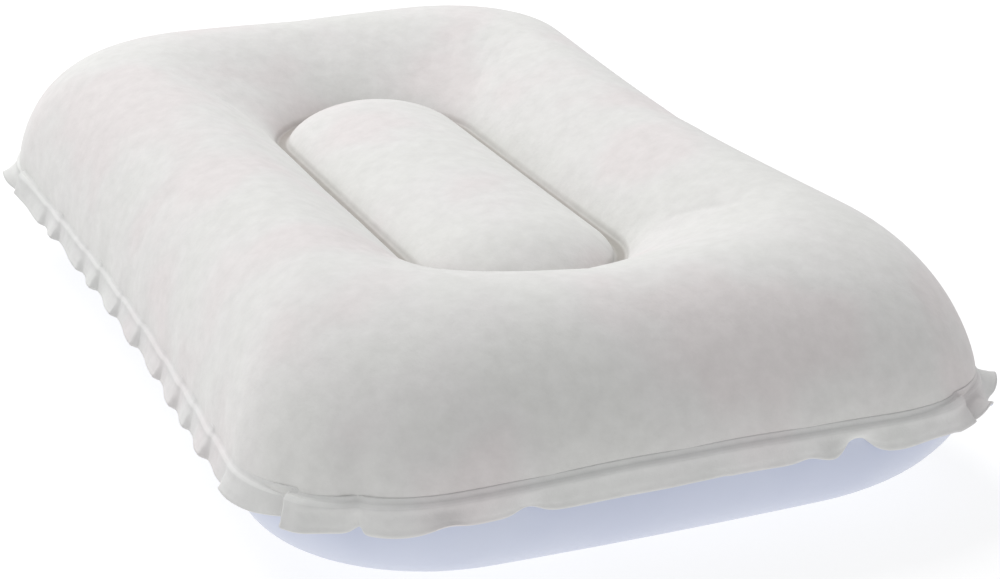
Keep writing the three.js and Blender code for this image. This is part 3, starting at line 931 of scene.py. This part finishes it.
def make_flange():
    """Welded disc with a raised rim at the well and two fine weld ridges."""
    profile = [(WELL_RADIUS, 0), (DISC_RADIUS, 0), (DISC_RADIUS, 0.6 * MM), (DISC_RADIUS - 0.6 * MM, MM)]
    for ridge in (DISC_RADIUS - 1.2 * MM, DISC_RADIUS - 2.2 * MM):
        profile += [(ridge, MM), (ridge - 0.2 * MM, 1.2 * MM),
                    (ridge - 0.4 * MM, 1.2 * MM), (ridge - 0.6 * MM, MM)]
    profile += [(WELL_RADIUS + 0.9 * MM, MM), (WELL_RADIUS + 0.6 * MM, 1.5 * MM), (WELL_RADIUS, 1.5 * MM)]
    return soften(turned("flange_disc", profile), 0.08 * MM)


def make_diaphragm():
    """Thin cup between the disc and the stem."""
    outer = WELL_RADIUS - 0.05 * MM
    inner = STEM_RADIUS + 0.05 * MM
    wall = 0.6 * MM
    profile = [
        (inner, CUP_BOTTOM), (outer - 2 * MM, CUP_BOTTOM + 0.4 * MM),
        (outer - 0.4 * MM, CUP_BOTTOM + 2 * MM), (outer, 0.8 * MM),
        (outer - wall, 0.8 * MM), (outer - wall - 0.4 * MM, CUP_BOTTOM + 2.3 * MM),
        (outer - 2.3 * MM, CUP_BOTTOM + MM), (inner, CUP_BOTTOM + wall),
    ]
    return soften(turned("soft_diaphragm", profile), 0.5 * MM)


def make_stem():
    """Open tube with a bead round its mouth."""
    bead = STEM_TOP - 1.4 * MM
    profile = [
        (STEM_BORE, STEM_BOTTOM), (STEM_RADIUS, STEM_BOTTOM), (STEM_RADIUS, bead),
        (STEM_BEAD, bead + 0.3 * MM), (STEM_BEAD, STEM_TOP - 0.4 * MM), (STEM_BEAD - 0.4 * MM, STEM_TOP),
        (STEM_BORE + 0.3 * MM, STEM_TOP), (STEM_BORE, STEM_TOP - 0.3 * MM),
    ]
    return soften(turned("inflation_stem", profile))


def make_strap_ring():
    """Thin collar under the stem's bead, with the tab that the strap hinges on."""
    plan = tabbed_disc(STEM_RADIUS + 1.15 * MM, HINGE_OFFSET - 0.8 * MM, STRAP_WIDTH / 2, 0)
    hole_radius = STEM_RADIUS + PART_GAP
    hole = []
    for x, y in plan:
        reach = hole_radius / math.hypot(x, y)
        hole.append((x * reach, y * reach))
    low = STEM_TOP - HINGE_DROP - 0.8 * MM
    return soften(slab("collar", plan, low, low + 0.6 * MM, hole), 0.08 * MM)


def make_strap():
    """Tether that curves from the living hinge up to the side of the plug's head."""
    hinge = STEM_TOP - HINGE_DROP
    head_side = PLUG_RADIUS + 0.1 * MM
    outline_points = [
        (head_side, hinge + 2.8 * MM), (head_side + 1.15 * MM, hinge + 2.4 * MM),
        (HINGE_OFFSET - 0.45 * MM, hinge - 0.2 * MM), (HINGE_OFFSET + 0.1 * MM, hinge - 0.5 * MM),
        (HINGE_OFFSET + 0.55 * MM, hinge + 0.1 * MM), (head_side + 1.75 * MM, hinge + 3.2 * MM),
        (head_side, hinge + 3.8 * MM),
    ]
    half = STRAP_WIDTH / 2
    points = [from_valve(np.array([x, y, z])) for y in (half, -half) for x, z in outline_points]
    count = len(outline_points)
    faces = grid_faces(2, count)
    faces += [tuple(reversed(range(count))), tuple(range(count, 2 * count))]
    return soften(mesh_object("tether", points, faces), 0.2 * MM)


def make_plug():
    """Shank and a shallow domed head with a finger dimple."""
    seat = STEM_TOP + PART_GAP
    top = seat + 2.2 * MM
    foot = seat - PLUG_SHANK
    centre = 0.02 * MM
    profile = [
        (centre, foot), (2.6 * MM, foot), (3 * MM, foot + 0.5 * MM), (3.4 * MM, seat),
        (PLUG_RADIUS, seat), (PLUG_RADIUS, top - 0.6 * MM), (PLUG_RADIUS - 0.6 * MM, top),
        (PLUG_RADIUS - 1.6 * MM, top), (PLUG_RADIUS - 2.4 * MM, top - 0.25 * MM), (centre, top - 0.4 * MM),
    ]
    return soften(turned("stopper", profile))


def make_check_flap():
    """Thin disc with a hinge tab over the stem's inner end."""
    plan = tabbed_disc(FLAP_RADIUS, STEM_RADIUS - 0.3 * MM, 1.5 * MM, 90)
    top = STEM_BOTTOM - PART_GAP
    return soften(slab("flap_disc", plan, top - 0.6 * MM, top), 0.1 * MM)


def make_valve(vinyl):
    diaphragm = make_diaphragm()
    pieces = [
        (make_flange(), "valve_flange", "pillow"), (diaphragm, "valve_diaphragm", None),
        (make_stem(), "valve_stem", "stem"), (make_strap_ring(), "strap_ring", "stem"),
        (make_strap(), "plug_strap", "plug"), (make_plug(), "valve_plug", "plug"),
        (make_check_flap(), "check_flap", "flap"),
    ]
    for piece, node, body in pieces:
        piece.data.materials.clear()
        piece.data.materials.append(vinyl)
        if body:
            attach(piece, body)
        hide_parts(node)
    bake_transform(diaphragm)


# ---- Assembly ----

make_camera()
make_studio()

FLOCK = flock_material("flock", 0.795, 1.0, 0.3 * MM)
# Painted shade: the margin's flock is a little darker than the body's, standing in for the shade on the
# band that hangs under the weld.
SHADED_MARGIN_FLOCK = flock_material("margin_flock_painted_shade", 0.765, 0.6, 1.4 * MM)
# Painted highlight: the lip's flock is lighter, standing in for the light that the margin's up-facing crest
# catches.
LIP_HIGHLIGHT_FLOCK = flock_material("lip_highlight_flock", 0.815, 0.6, 1.0 * MM)
BASE_VINYL = vinyl_material("base_vinyl", (0.58, 0.62, 0.755), (0.62, 0.66, 0.785), 0.34)
WEB_VINYL = vinyl_material("web_vinyl", (0.60, 0.64, 0.72), (0.64, 0.68, 0.76), 0.45)
VALVE_VINYL = vinyl_material("valve_vinyl", (0.66, 0.70, 0.79), (0.70, 0.74, 0.83), 0.3)

skin, top_faces, base_faces = body_skins()
top_sheet = sheet_piece("flocked_top", skin, top_faces, TOP_SHEET, FLOCK)
base_sheet = sheet_piece("vinyl_base", skin, base_faces, BASE_SHEET, BASE_VINYL, hole=True)
for sheet, node, slot in ((top_sheet, "top_panel", "flocked_top"),
                          (base_sheet, "bottom_panel", "vinyl_base")):
    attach(sheet, "pillow")
    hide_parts(node)

make_margin(SHADED_MARGIN_FLOCK, LIP_HIGHLIGHT_FLOCK, BASE_VINYL)
make_valve(VALVE_VINYL)

for name, node in frame["nodes"].items():
    if not node.hide_render:
        material = WEB_VINYL if name.endswith("_rib") else VALVE_VINYL
        node.data.materials.clear()
        node.data.materials.append(material)
